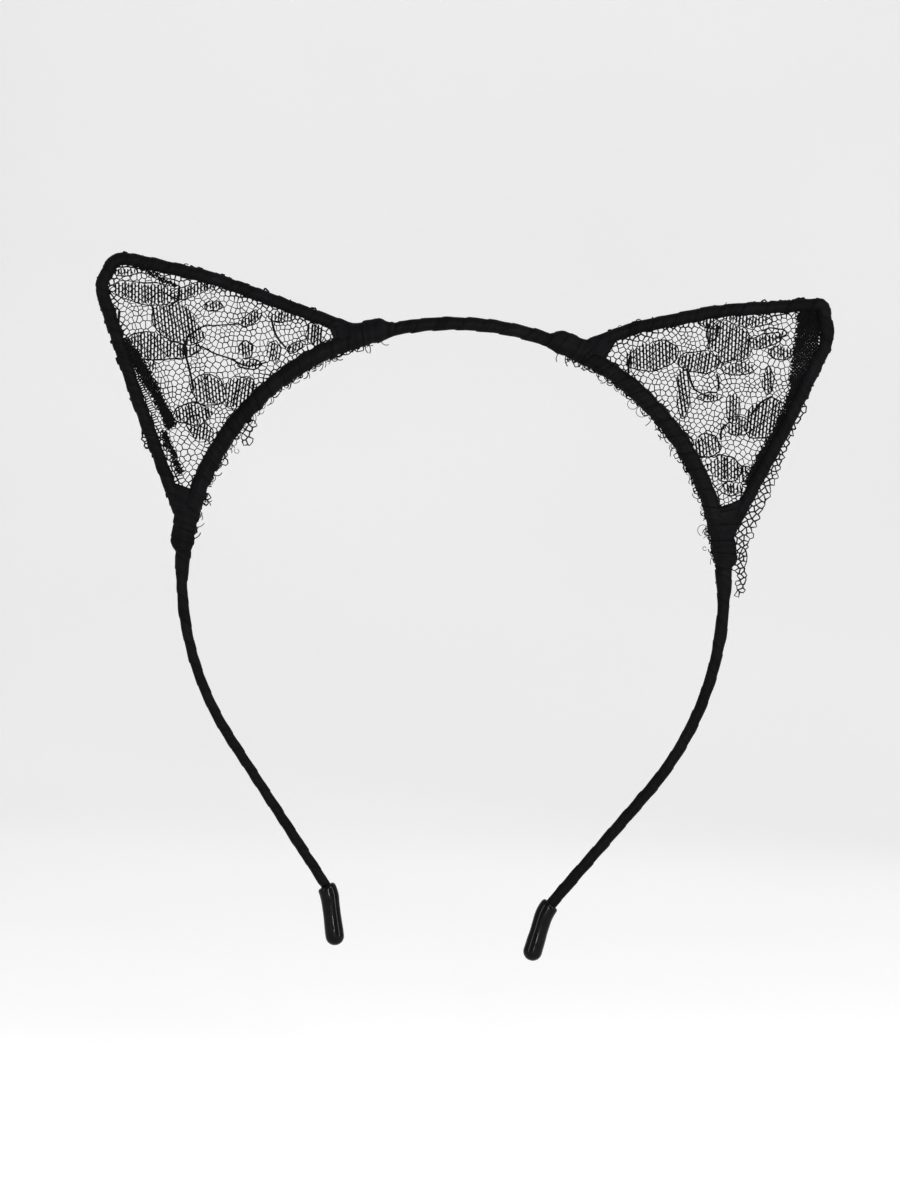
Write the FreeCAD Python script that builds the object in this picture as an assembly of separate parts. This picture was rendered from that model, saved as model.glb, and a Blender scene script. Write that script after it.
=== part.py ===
import FreeCAD, Part
import math
import os

# A pair of cat ears on a spring-wire headband, drawn upright as it is worn.
# +X runs to the viewer's right, +Z up and +Y away from the viewer. The band lies in the XZ plane,
# and the origin is the middle of the crown's underside, where it rests on the head. All sizes in mm.
# Each side is drawn on +X, and the left one is mirrored into place. Stations are measured along the
# band's centreline, from the middle of the crown outwards.

# Wires (radii), and how thickly each stretch is wound
band_wire_radius = 0.8
ear_wire_radius = 0.6
crown_wrap = 0.55
base_wrap = 1.15
leg_wrap = 0.3
ear_wrap = 0.85
wrap_clearance = 0.05

# The ear wire's tails, which lie along the outside of the band
tail_length = 4.5
tail_gap = 0.3
foot_run = 2.2
foot_bend_radius = 4.0

# The ribbon and hot-melt glue that bind each tail to the band
join_overrun = 1.5
fork_gap = 0.15
horn_overrun = 0.8
bead_length = 3.6
bead_radius = 1.5
bead_shift = 1.1
bead_inset = 1.0
end_flare = 0.1
parting_step = 0.1
parting_reach = 12.0

# Gaps between pieces that move apart
leg_gap = 0.7
ear_gap = 1.0
lace_gap = 1.0

# Lace
lace_thickness = 0.6

# End caps
cap_wall = 1.0
cap_length = 12.7
ribbon_setback = 4.0
cap_clearance = 0.05

# Band bends as (radius, degrees), in the order they are met on the way out from the crown, with the
# straight run of the leg and of its turned-out tip. Ear points are (along, up, radius): a share of
# the line between the ear's feet, a share of the ear's height, and the radius of the bend there.
sides = {
    "left": {
        "crown": (73.0, 23.5),
        "shoulder": (60.5, 75.0),
        "leg": (72.3, 27.4),
        "leg_run": 41.3,
        "tip": (10.1, 25.7),
        "tip_run": 9.1,
        "inner_foot": 24.5,
        "outer_foot": 91.0,
        "ear_height": 57.0,
        "ear_points": [(0.086, 0.229, 20.0), (0.242, 0.645, 90.0), (0.432, 1.0, 4.0), (0.554, 0.96, 5.0),
                       (0.77, 0.525, 90.0)],
    },
    "right": {
        "crown": (68.0, 26.0),
        "shoulder": (62.0, 57.3),
        "leg": (74.7, 44.5),
        "leg_run": 35.6,
        "tip": (10.6, 24.0),
        "tip_run": 8.2,
        "inner_foot": 26.0,
        "outer_foot": 87.5,
        "ear_height": 54.4,
        "ear_points": [(0.077, 0.269, 25.0), (0.232, 0.62, 70.0), (0.463, 1.0, 1.6), (0.589, 0.93, 9.0),
                       (0.784, 0.515, 60.0)],
    },
}

crown_ribbon_radius = band_wire_radius + crown_wrap
base_ribbon_radius = band_wire_radius + base_wrap
leg_ribbon_radius = band_wire_radius + leg_wrap
ear_ribbon_radius = ear_wire_radius + ear_wrap
cap_bore_radius = leg_ribbon_radius + cap_clearance
cap_radius = cap_bore_radius + cap_wall
tail_shift = band_wire_radius + ear_wire_radius + tail_gap


def heading_vector(heading):
    return FreeCAD.Vector(math.cos(heading), 0, math.sin(heading))


def outward_vector(heading):
    return FreeCAD.Vector(-math.sin(heading), 0, math.cos(heading))


def walk(point, heading, length, turn):
    if abs(turn) < 1e-9:
        return point + heading_vector(heading) * length, heading
    radius = length / turn
    centre = point + outward_vector(heading) * radius
    return centre - outward_vector(heading + turn) * radius, heading + turn


class Path:
    # A plane line of straight runs and tangent arcs: a start, a heading and (length, turn) stretches

    def __init__(self, start, heading, bends):
        self.start = start
        self.heading = heading
        self.bends = [bend for bend in bends if bend[0] > 1e-6]
        self.length = sum(length for length, turn in self.bends)

    def pose(self, station):
        point = self.start
        heading = self.heading
        left = station
        for length, turn in self.bends:
            share = min(max(left / length, 0.0), 1.0)
            point, heading = walk(point, heading, length * share, turn * share)
            left = left - length
            if left <= 0:
                break
        return point, heading

    def between(self, first, last):
        point, heading = self.pose(first)
        bends = []
        begin = 0.0
        for length, turn in self.bends:
            low = max(first, begin)
            high = min(last, begin + length)
            if high > low:
                bends.append((high - low, turn * (high - low) / length))
            begin = begin + length
        return Path(point, heading, bends)

    def shifted(self, distance):
        bends = [(length - turn * distance, turn) for length, turn in self.bends]
        return Path(self.start + outward_vector(self.heading) * distance, self.heading, bends)

    def edges(self):
        point = self.start
        heading = self.heading
        edges = []
        for length, turn in self.bends:
            middle = walk(point, heading, length / 2, turn / 2)[0]
            end, end_heading = walk(point, heading, length, turn)
            if abs(turn) < 1e-9:
                edges.append(Part.LineSegment(point, end).toShape())
            else:
                edges.append(Part.Arc(point, middle, end).toShape())
            point = end
            heading = end_heading
        return edges


def rounded_bends(points, radii):
    # Stretches of a line through the points, each inner corner rounded by its radius. A corner takes
    # no more than 0.48 of the shorter run beside it.
    runs = [points[i + 1] - points[i] for i in range(len(points) - 1)]
    headings = [math.atan2(run.z, run.x) for run in runs]
    bends = []
    used = 0.0
    for i in range(len(runs) - 1):
        turn = (headings[i + 1] - headings[i] + math.pi) % (2 * math.pi) - math.pi
        slope = math.tan(abs(turn) / 2)
        setback = min(radii[i] * slope, 0.48 * min(runs[i].Length, runs[i + 1].Length))
        bends.append((runs[i].Length - used - setback, 0.0))
        bends.append((setback / slope * abs(turn), turn))
        used = setback
    bends.append((runs[-1].Length - used, 0.0))
    return bends


def tube(path, radius):
    # A round bar that follows a path
    ring = Part.makeCircle(radius, path.start, heading_vector(path.heading))
    return Part.Wire(path.edges()).makePipeShell([Part.Wire([ring])], True, False)


def oval(pose, inner_reach, outer_reach, half_depth):
    # A cross-section square to the band, reaching in towards the head and out from it
    point, heading = pose
    outward = outward_vector(heading)
    centre = point + outward * ((outer_reach - inner_reach) / 2)
    tall = (outer_reach + inner_reach) / 2
    top = centre + outward * tall
    side = centre + FreeCAD.Vector(0, half_depth, 0)
    return Part.Wire([Part.Ellipse(top, side, centre).toShape()])


def band_path(side):
    bends = []
    for name in ("crown", "shoulder", "leg"):
        radius, degrees = side[name]
        bends.append((radius * math.radians(degrees), -math.radians(degrees)))
    bends.append((side["leg_run"], 0.0))
    radius, degrees = side["tip"]
    bends.append((radius * math.radians(degrees), math.radians(degrees)))
    bends.append((side["tip_run"], 0.0))
    return Path(FreeCAD.Vector(0, 0, crown_ribbon_radius), 0.0, bends)


def ear_path(side, band):
    # The ear wire: a tail on the band, up round the ear and down to the other tail
    inner = side["inner_foot"]
    outer = side["outer_foot"]
    inner_tail = band.between(inner - tail_length, inner).shifted(tail_shift)
    outer_tail = band.between(outer, outer + tail_length).shifted(tail_shift)
    first, first_heading = inner_tail.pose(inner_tail.length)
    last, last_heading = outer_tail.start, outer_tail.heading
    chord = band.pose(outer)[0] - band.pose(inner)[0]
    along = FreeCAD.Vector(chord.x, 0, chord.z).normalize()
    upward = FreeCAD.Vector(-along.z, 0, along.x)
    corner = band.pose(inner)[0]
    points = [first, first + heading_vector(first_heading) * foot_run]
    radii = [foot_bend_radius]
    for share, rise, radius in side["ear_points"]:
        points.append(corner + along * (share * chord.Length) + upward * (rise * side["ear_height"]))
        radii.append(radius)
    points.append(last - heading_vector(last_heading) * foot_run)
    radii.append(foot_bend_radius)
    points.append(last)
    bends = inner_tail.bends + rounded_bends(points, radii) + outer_tail.bends
    return Path(inner_tail.start, inner_tail.heading, bends), inner_tail.length, outer_tail.length


def parting(band, ear, foot, ear_foot, way):
    # Where the band's own ribbon starts again beside the ribbon on the ear wire: the station on the
    # band, the ear wire's station level with it, and how far out the ear wire is there
    steps = [way * parting_step * i for i in range(int(parting_reach / parting_step))]
    ear_line = [(ear_foot + step, ear.pose(ear_foot + step)[0]) for step in steps]
    for step in steps:
        point, heading = band.pose(foot + step)
        edge = point + outward_vector(heading) * base_ribbon_radius
        if min(edge.distanceToPoint(spot) for station, spot in ear_line) >= ear_ribbon_radius + fork_gap:
            break
    level = min(ear_line, key=lambda pair: abs((pair[1] - point).dot(heading_vector(heading))))
    return foot + step, level[0], (level[1] - point).dot(outward_vector(heading))


def make_join(band, stations, fork_offset, end_radius, horn):
    # The outside of the ribbon wound over one tail: thin on the bare band, deep enough for both wires
    # at the foot, and carried a little way up the ear wire
    start, foot, fork = stations
    foot_out = tail_shift + ear_ribbon_radius
    fork_out = fork_offset + ear_ribbon_radius
    sections = [
        oval(band.pose(start), end_radius, end_radius + end_flare, end_radius),
        oval(band.pose((start + foot) / 2), base_ribbon_radius - end_flare, foot_out - end_flare,
             base_ribbon_radius - end_flare),
        oval(band.pose(foot), base_ribbon_radius, foot_out, base_ribbon_radius),
        oval(band.pose(fork), base_ribbon_radius, fork_out, base_ribbon_radius),
    ]
    return Part.makeLoft(sections, True, False).fuse(tube(horn, ear_ribbon_radius)).removeSplitter()


def make_lace(band, ear, feet, tails, ribbon_ends):
    # A flat panel that fills the ear up to its ribbon, and stays clear of what the ear tilts against
    rim = ear.between(tails[0], tails[1])
    floor = band.between(feet[0], feet[1])
    rim_start, rim_end = rim.pose(0)[0], rim.pose(rim.length)[0]
    floor_start, floor_end = floor.pose(0)[0], floor.pose(floor.length)[0]
    outline = rim.edges() + floor.edges()
    outline.append(Part.LineSegment(rim_start, floor_start).toShape())
    outline.append(Part.LineSegment(floor_end, rim_end).toShape())
    sheet = Part.Face(Part.Wire(Part.__sortEdges__(outline)))
    sheet.translate(FreeCAD.Vector(0, -lace_thickness / 2, 0))
    panel = sheet.extrude(FreeCAD.Vector(0, lace_thickness, 0))
    keep_clear = [
        tube(rim, ear_ribbon_radius + wrap_clearance),
        tube(band.between(feet[0] - tail_length, feet[1] + tail_length), base_ribbon_radius + lace_gap),
        tube(ear.between(tails[0], ribbon_ends[0]), ear_ribbon_radius + lace_gap),
        tube(ear.between(ribbon_ends[1], tails[1]), ear_ribbon_radius + lace_gap),
    ]
    panel = panel.cut(keep_clear)
    return max(panel.Solids, key=lambda solid: solid.Volume)


def make_side(side):
    band = band_path(side)
    ear, inner_tail, outer_tail = ear_path(side, band)
    feet = (side["inner_foot"], side["outer_foot"])
    tails = (inner_tail, ear.length - outer_tail)
    inner_end = feet[0] - tail_length - join_overrun
    outer_end = feet[1] + tail_length + join_overrun
    inner_fork, ear_first, inner_offset = parting(band, ear, feet[0], tails[0], 1)
    outer_fork, ear_last, outer_offset = parting(band, ear, feet[1], tails[1], -1)
    ear_first = ear_first + horn_overrun
    ear_last = ear_last - horn_overrun
    ribbon_ends = (ear_first + ear_gap, ear_last - ear_gap)
    leg_start = outer_end + leg_gap

    band_hole = tube(band, band_wire_radius + wrap_clearance)
    ear_hole = tube(ear, ear_wire_radius + wrap_clearance)
    pieces = {}
    pieces["band_wire"] = tube(band, band_wire_radius)
    pieces["ear_wire"] = tube(ear, ear_wire_radius)
    pieces["crown_ribbon"] = tube(band.between(0, inner_end), crown_ribbon_radius).cut(band_hole)
    pieces["base_ribbon"] = tube(band.between(inner_fork, outer_fork), base_ribbon_radius).cut(band_hole)

    inner_horn = ear.between(tails[0] - horn_overrun, ear_first)
    outer_horn = ear.between(ear_last, tails[1] + horn_overrun)
    inner_stations = (inner_end, feet[0], inner_fork)
    outer_stations = (outer_end, feet[1], outer_fork)
    joins = {
        "inner": make_join(band, inner_stations, inner_offset, crown_ribbon_radius, inner_horn),
        "outer": make_join(band, outer_stations, outer_offset, leg_ribbon_radius, outer_horn),
    }
    bead_starts = {"inner": feet[0] - bead_length - bead_inset, "outer": feet[1] + bead_inset}
    for name, start in bead_starts.items():
        bead_path = band.between(start, start + bead_length).shifted(bead_shift)
        bead_bar = tube(bead_path, bead_radius)
        pieces[name + "_join"] = joins[name].cut([band_hole, ear_hole, bead_bar])
        pieces[name + "_glue_bead"] = bead_bar.cut([band_hole, ear_hole])

    leg_path = band.between(leg_start, band.length - ribbon_setback)
    pieces["leg_ribbon"] = tube(leg_path, leg_ribbon_radius).cut(band_hole)
    cap_path = band.between(band.length - cap_length, band.length)
    dome = Part.makeSphere(cap_radius, band.pose(band.length)[0])
    cap = tube(cap_path, cap_radius).fuse(dome).removeSplitter()
    pieces["end_cap"] = cap.cut(tube(cap_path, cap_bore_radius))

    ribbon_path = ear.between(ribbon_ends[0], ribbon_ends[1])
    pieces["ear_ribbon"] = tube(ribbon_path, ear_ribbon_radius).cut(ear_hole)
    pieces["lace"] = make_lace(band, ear, feet, tails, ribbon_ends)

    marks = {
        "leg_pivot": band.pose(outer_end + leg_gap / 2)[0],
        "ear_pivots": [ear.pose(ear_first + ear_gap / 2)[0], ear.pose(ear_last - ear_gap / 2)[0]],
        "band": band,
        "ear": ear,
    }
    return pieces, marks


def make_parts():
    middle = FreeCAD.Vector(0, 0, 0)
    across = FreeCAD.Vector(1, 0, 0)
    parts = {}
    marks = {}
    halves = {"band_wire": [], "crown_ribbon": []}
    for name, side in sides.items():
        pieces, marks[name] = make_side(side)
        for piece, shape in pieces.items():
            if name == "left":
                shape = shape.mirror(middle, across)
            if piece in halves:
                halves[piece].append(shape)
            else:
                parts[name + "_" + piece] = shape
    for piece, shapes in halves.items():
        parts[piece] = shapes[0].fuse(shapes[1]).removeSplitter()
    return parts, marks


parts, marks = make_parts()
os.makedirs("parts", exist_ok=True)
for name, shape in parts.items():
    solids = shape.Solids
    whole = solids[0] if len(solids) == 1 else Part.makeCompound(solids)
    whole.exportStep("parts/" + name + ".step")
    print(name, "solids", len(solids), "valid", whole.isValid(), "volume", round(whole.Volume, 1))
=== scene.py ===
import math
import random

import bmesh
import bpy
from mathutils import Matrix, Vector, noise
from mathutils.geometry import delaunay_2d_cdt


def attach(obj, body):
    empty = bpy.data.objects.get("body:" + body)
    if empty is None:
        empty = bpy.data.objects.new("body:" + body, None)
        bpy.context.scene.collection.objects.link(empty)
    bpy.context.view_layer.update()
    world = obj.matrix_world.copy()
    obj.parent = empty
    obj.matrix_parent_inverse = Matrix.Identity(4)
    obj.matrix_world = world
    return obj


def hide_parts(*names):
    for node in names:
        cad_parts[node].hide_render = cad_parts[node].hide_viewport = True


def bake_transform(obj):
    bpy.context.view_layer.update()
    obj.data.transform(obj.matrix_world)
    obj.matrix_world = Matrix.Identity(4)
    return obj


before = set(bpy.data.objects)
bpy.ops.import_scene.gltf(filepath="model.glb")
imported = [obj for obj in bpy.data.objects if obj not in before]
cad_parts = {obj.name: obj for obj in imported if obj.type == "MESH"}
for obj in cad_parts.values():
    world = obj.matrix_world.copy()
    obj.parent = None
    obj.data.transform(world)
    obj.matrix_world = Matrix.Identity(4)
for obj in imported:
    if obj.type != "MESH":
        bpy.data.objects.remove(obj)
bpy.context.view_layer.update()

print("frame loaded:", len(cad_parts), "nodes")

# Everything is drawn in millimetres and scaled to metres when a piece is finished.
# +X is the viewer's right, -Y the front and +Z up. Stations run along a wire, in mm.
mm = 0.001
sideNames = ("left", "right")


cameraSpec = {
    "distance": 900.0,
    "aim": (-0.9, 0.0, -64.7),
    "elevation": 1.5,
    "roll": 3.0,
    "viewWidth": 216.0,
    "sensor": 36.0,
    "clip": (0.02, 30.0),       # metres
}


def placeCamera(spec):
    data = bpy.data.cameras.new("studioCamera")
    data.sensor_fit = "HORIZONTAL"
    data.sensor_width = spec["sensor"]
    data.lens = spec["sensor"] * spec["distance"] / spec["viewWidth"]
    data.clip_start, data.clip_end = spec["clip"]
    camera = bpy.data.objects.new("studioCamera", data)
    bpy.context.scene.collection.objects.link(camera)
    tilt = math.radians(spec["elevation"])
    away = Vector((0.0, -math.cos(tilt), math.sin(tilt)))
    place = (Vector(spec["aim"]) + away * spec["distance"]) * mm
    turn = Matrix.Rotation(math.pi / 2 - tilt, 4, "X") @ Matrix.Rotation(math.radians(spec["roll"]), 4, "Z")
    camera.matrix_world = Matrix.Translation(place) @ turn
    bpy.context.scene.camera = camera


placeCamera(cameraSpec)

lightSpecs = {
    "stripLamp": {"at": (50, -760, -120), "size": (16, 420), "power": 3.6},
    "sideStrip": {"at": (640, -330, -60), "size": (60, 600), "power": 2.2},
    "keyPanel": {"at": (560, -640, 500), "size": (300, 260), "power": 3.4},
    "fillPanel": {"at": (-760, -520, 60), "size": (200, 600), "power": 2.4},
    "topPanel": {"at": (0, 200, 800), "size": (600, 200), "power": 0.4},
    "backPanel": {"at": (320, 760, 260), "size": (400, 400), "power": 0.35},
}
lightTarget = Vector((0, 0, -60))


def placeLight(name, spec):
    data = bpy.data.lights.new(name, "AREA")
    data.shape = "RECTANGLE"
    data.size = spec["size"][0] * mm
    data.size_y = spec["size"][1] * mm
    data.energy = spec["power"]
    light = bpy.data.objects.new(name, data)
    bpy.context.scene.collection.objects.link(light)
    place = Vector(spec["at"])
    aim = (lightTarget - place).to_track_quat("-Z", "Y")
    light.matrix_world = Matrix.Translation(place * mm) @ aim.to_matrix().to_4x4()


for lightName, lightSpec in lightSpecs.items():
    placeLight(lightName, lightSpec)

worldSpec = {"colour": (0.95, 0.948, 0.95, 1), "strength": 0.62}
world = bpy.data.worlds.new("studioWorld")
bpy.context.scene.world = world
world.use_nodes = True
background = world.node_tree.nodes["Background"]
background.inputs["Color"].default_value = worldSpec["colour"]
background.inputs["Strength"].default_value = worldSpec["strength"]
bpy.context.scene.view_settings.view_transform = "Standard"
print("camera and lights placed")


class Value:
    # a socket that takes part in plain arithmetic
    def __init__(self, maker, socket):
        self.maker = maker
        self.socket = socket

    def math(self, operation, *others):
        return self.maker.add("ShaderNodeMath", {"operation": operation}, [self, *others])

    def __add__(self, other):
        return self.math("ADD", other)

    __radd__ = __add__

    def __mul__(self, other):
        return self.math("MULTIPLY", other)

    __rmul__ = __mul__

    def __sub__(self, other):
        return self.math("SUBTRACT", other)

    def __rsub__(self, other):
        return self.maker.add("ShaderNodeMath", {"operation": "SUBTRACT"}, [other, self])


class Finish:
    # one material and its nodes
    def __init__(self, name, metallic=0.0, **constants):
        self.material = bpy.data.materials.new(name)
        self.material.use_nodes = True
        self.nodes = self.material.node_tree.nodes
        self.links = self.material.node_tree.links
        self.shader = self.nodes["Principled BSDF"]
        self.shader.inputs["Metallic"].default_value = metallic
        for socket, value in constants.items():
            self.shader.inputs[socket.replace("_", " ")].default_value = value

    def add(self, kind, settings=None, values=(), output=0):
        node = self.nodes.new(kind)
        for key, value in (settings or {}).items():
            setattr(node, key, value)
        pairs = values.items() if isinstance(values, dict) else enumerate(values)
        for key, value in pairs:
            if isinstance(value, Value):
                self.links.new(value.socket, node.inputs[key])
            elif value is not None:
                node.inputs[key].default_value = value
        return Value(self, node.outputs[output])

    def feed(self, **values):
        for socket, value in values.items():
            self.links.new(value.socket, self.shader.inputs[socket.replace("_", " ")])

    def noiseAt(self, place, scale, stretch=(1, 1, 1), detail=3.0):
        spot = self.add("ShaderNodeMapping", {}, {"Vector": place, "Scale": stretch})
        return self.add("ShaderNodeTexNoise", {}, {"Vector": spot, "Scale": scale, "Detail": detail})

    def blendColours(self, share, first, second):
        return self.add("ShaderNodeMix", {"data_type": "RGBA"}, {0: share, 6: first, 7: second}, output=2)

    def bump(self, height, strength, distance):
        values = {"Strength": strength, "Distance": distance * mm, "Height": height}
        return self.add("ShaderNodeBump", {}, values)


# each finish is a dark and a light tone, blended by noise
tones = {
    "satin": ((0.001, 0.001, 0.0012, 1), (0.0055, 0.0055, 0.0062, 1)),
    "thread": ((0.0015, 0.0015, 0.0016, 1), (0.006, 0.0058, 0.0062, 1)),
    "vinyl": ((0.001, 0.001, 0.0012, 1), (0.003, 0.003, 0.0034, 1)),
    "steel": ((0.33, 0.33, 0.34, 1), (0.58, 0.58, 0.59, 1)),
    "glue": ((0.62, 0.52, 0.33, 1), (0.8, 0.74, 0.58, 1)),
    "paper": ((0.88, 0.88, 0.884, 1), (0.92, 0.92, 0.922, 1)),
}
satinWarp = 9.0             # warp threads to the millimetre of ribbon width


def makeSatin():
    # warp threads run along the ribbon: U is mm along it and V is mm across it
    finish = Finish("blackSatin", Sheen_Weight=0.01, Sheen_Roughness=0.35, Specular_IOR_Level=0.024)
    along = finish.add("ShaderNodeUVMap", {"uv_map": "wound"})
    place = finish.add("ShaderNodeTexCoord", output="Object")
    warp = finish.noiseAt(along, 1.0, (0.35, satinWarp, 1), 2.0)
    slub = finish.noiseAt(along, 1.0, (0.12, 1.1, 1), 2.0)
    cloud = finish.noiseAt(place, 120.0, detail=2.0)
    shade = warp * 0.45 + slub * 0.35 + cloud * 0.3
    tone = finish.add("ShaderNodeMapRange", {}, [shade, 0.36, 0.74, 0.0, 1.0])
    finish.feed(
        Base_Color=finish.blendColours(tone, *tones["satin"]),
        Roughness=0.62 - tone * 0.24,
        Normal=finish.bump(warp * 0.7 + slub * 0.6, 0.55, 0.06),
    )
    return finish.material


def makeThread():
    finish = Finish("laceThread", Sheen_Weight=0.01, Sheen_Roughness=0.5, Specular_IOR_Level=0.04)
    place = finish.add("ShaderNodeTexCoord", output="Object")
    twist = finish.add("ShaderNodeTexWave", {"bands_direction": "DIAGONAL"},
                       {"Vector": place, "Scale": 900.0})
    fuzz = finish.noiseAt(place, 1800.0, detail=2.0)
    cloud = finish.noiseAt(place, 90.0, detail=2.0)
    tone = finish.add("ShaderNodeMapRange", {}, [cloud * 0.5 + fuzz * 0.5, 0.35, 0.7, 0.0, 1.0])
    finish.feed(
        Base_Color=finish.blendColours(tone, *tones["thread"]),
        Roughness=0.72 + tone * 0.18,
        Normal=finish.bump(twist * 0.5 + fuzz * 0.5, 0.5, 0.05),
    )
    return finish.material


def makeVinyl():
    finish = Finish("capVinyl", Coat_Roughness=0.04, Specular_IOR_Level=0.05)
    finish.shader.inputs["Coat Weight"].default_value = 0.1
    place = finish.add("ShaderNodeTexCoord", output="Object")
    ripple = finish.noiseAt(place, 260.0, (1, 1, 0.35), 2.0)
    dust = finish.noiseAt(place, 1500.0, detail=4.0)
    smudge = finish.noiseAt(place, 420.0, detail=3.0)
    tone = finish.add("ShaderNodeMapRange", {}, [smudge, 0.4, 0.75, 0.0, 1.0])
    finish.feed(
        Base_Color=finish.blendColours(tone, *tones["vinyl"]),
        Roughness=0.1 + tone * 0.12,
        Normal=finish.bump(ripple + dust * 0.1, 0.25, 0.12),
    )
    return finish.material


def makeSteel():
    finish = Finish("drawnWire", metallic=1.0)
    place = finish.add("ShaderNodeTexCoord", output="Object")
    draw = finish.noiseAt(place, 900.0, (1, 1, 0.08), 3.0)
    stain = finish.noiseAt(place, 160.0, detail=3.0)
    tone = finish.add("ShaderNodeMapRange", {}, [draw * 0.5 + stain * 0.5, 0.35, 0.7, 0.0, 1.0])
    finish.feed(
        Base_Color=finish.blendColours(tone, *tones["steel"]),
        Roughness=0.42 - tone * 0.16,
        Normal=finish.bump(draw, 0.3, 0.03),
    )
    return finish.material


def makeGlue():
    finish = Finish("hotMeltGlue", Specular_IOR_Level=0.4)
    place = finish.add("ShaderNodeTexCoord", output="Object")
    haze = finish.noiseAt(place, 500.0, detail=3.0)
    tone = finish.add("ShaderNodeMapRange", {}, [haze, 0.35, 0.7, 0.0, 1.0])
    finish.feed(
        Base_Color=finish.blendColours(tone, *tones["glue"]),
        Roughness=0.35 + tone * 0.2,
        Normal=finish.bump(haze, 0.3, 0.1),
    )
    return finish.material


def makePaper():
    finish = Finish("backdropPaper", Specular_IOR_Level=0.1, Emission_Strength=0.16)
    finish.shader.inputs["Emission Color"].default_value = (1, 1, 1, 1)
    place = finish.add("ShaderNodeTexCoord", output="Object")
    cloud = finish.noiseAt(place, 2.5, detail=2.0)
    tone = finish.add("ShaderNodeMapRange", {}, [cloud, 0.3, 0.7, 0.0, 1.0])
    finish.feed(
        Base_Color=finish.blendColours(tone, *tones["paper"]),
        Roughness=0.9 - tone * 0.05,
        Normal=finish.bump(cloud, 0.05, 0.5),
    )
    return finish.material


satin = makeSatin()
thread = makeThread()
vinyl = makeVinyl()
steel = makeSteel()
glue = makeGlue()
paper = makePaper()
print("materials made")


wireSpec = {
    "bandRadius": 0.8,
    "earRadius": 0.6,
    "crownWrap": 1.35,
    "baseWrap": 1.95,
    "legWrap": 1.1,
    "earWrap": 1.45,
    "tailGap": 0.3,
    "tailLength": 4.5,
    "joinOverrun": 1.5,
    "legGap": 0.7,
    "footRun": 2.2,
    "footBend": 4.0,
    "wireStep": 0.8,
    "wireSides": 20,
}

# The band's bends as (radius, degrees) from the crown outwards, and the ear's corners as (share of
# the line between its feet, share of its height, radius), as the part was designed
sideSpecs = {
    "left": {
        "bends": ((73.0, -23.5), (60.5, -75.0), (72.3, -27.4)),
        "legRun": 41.3,
        "tip": (10.1, 25.7),
        "tipRun": 9.1,
        "feet": (24.5, 91.0),
        "earHeight": 57.0,
        "earCorners": ((0.086, 0.229, 20.0), (0.242, 0.645, 90.0), (0.432, 1.0, 4.0), (0.554, 0.96, 5.0),
                       (0.77, 0.525, 90.0)),
    },
    "right": {
        "bends": ((68.0, -26.0), (62.0, -57.3), (74.7, -44.5)),
        "legRun": 35.6,
        "tip": (10.6, 24.0),
        "tipRun": 8.2,
        "feet": (26.0, 87.5),
        "earHeight": 54.4,
        "earCorners": ((0.077, 0.269, 25.0), (0.232, 0.62, 70.0), (0.463, 1.0, 1.6), (0.589, 0.93, 9.0),
                       (0.784, 0.515, 60.0)),
    },
}
tailShift = wireSpec["bandRadius"] + wireSpec["earRadius"] + wireSpec["tailGap"]


def ahead(heading):
    return Vector((math.cos(heading), 0.0, math.sin(heading)))


def aside(heading):
    return Vector((-math.sin(heading), 0.0, math.cos(heading)))


class Line:
    # straight runs and tangent arcs in the XZ plane, as (length, turn) stretches
    def __init__(self, start, heading, stretches):
        self.start = start
        self.heading = heading
        self.stretches = [stretch for stretch in stretches if stretch[0] > 1e-6]
        self.length = sum(length for length, turn in self.stretches)

    def pose(self, station):
        point, heading, rest = self.start, self.heading, station
        for number, (length, turn) in enumerate(self.stretches):
            last = number == len(self.stretches) - 1
            run = rest if last else min(rest, length)
            bend = turn / length
            if abs(bend) < 1e-9:
                point = point + ahead(heading) * run
            else:
                centre = point + aside(heading) / bend
                heading = heading + bend * run
                point = centre - aside(heading) / bend
            rest = rest - length
            if rest <= 0:
                break
        return point, heading

    def at(self, station):
        # the point, the way along and the way out from the head
        point, heading = self.pose(station)
        return point, ahead(heading), aside(heading)

    def between(self, first, last):
        point, heading = self.pose(first)
        stretches, begin = [], 0.0
        for length, turn in self.stretches:
            run = min(last, begin + length) - max(first, begin)
            if run > 0:
                stretches.append((run, turn * run / length))
            begin += length
        return Line(point, heading, stretches)

    def shifted(self, distance):
        stretches = [(length - turn * distance, turn) for length, turn in self.stretches]
        return Line(self.start + aside(self.heading) * distance, self.heading, stretches)


def roundedStretches(points, radii):
    runs = [b - a for a, b in zip(points, points[1:])]
    headings = [math.atan2(run.z, run.x) for run in runs]
    stretches, used = [], 0.0
    for i, radius in enumerate(radii):
        turn = (headings[i + 1] - headings[i] + math.pi) % (2 * math.pi) - math.pi
        slope = math.tan(abs(turn) / 2)
        setback = min(radius * slope, 0.48 * min(runs[i].length, runs[i + 1].length))
        stretches += [(runs[i].length - used - setback, 0.0), (setback / slope * abs(turn), turn)]
        used = setback
    return stretches + [(runs[-1].length - used, 0.0)]


def drawBand(spec):
    stretches = [(radius * math.radians(abs(turn)), math.radians(turn)) for radius, turn in spec["bends"]]
    stretches.append((spec["legRun"], 0.0))
    tipRadius, tipTurn = spec["tip"]
    stretches += [(tipRadius * math.radians(tipTurn), math.radians(tipTurn)), (spec["tipRun"], 0.0)]
    return Line(Vector((0, 0, wireSpec["crownWrap"])), 0.0, stretches)


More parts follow.
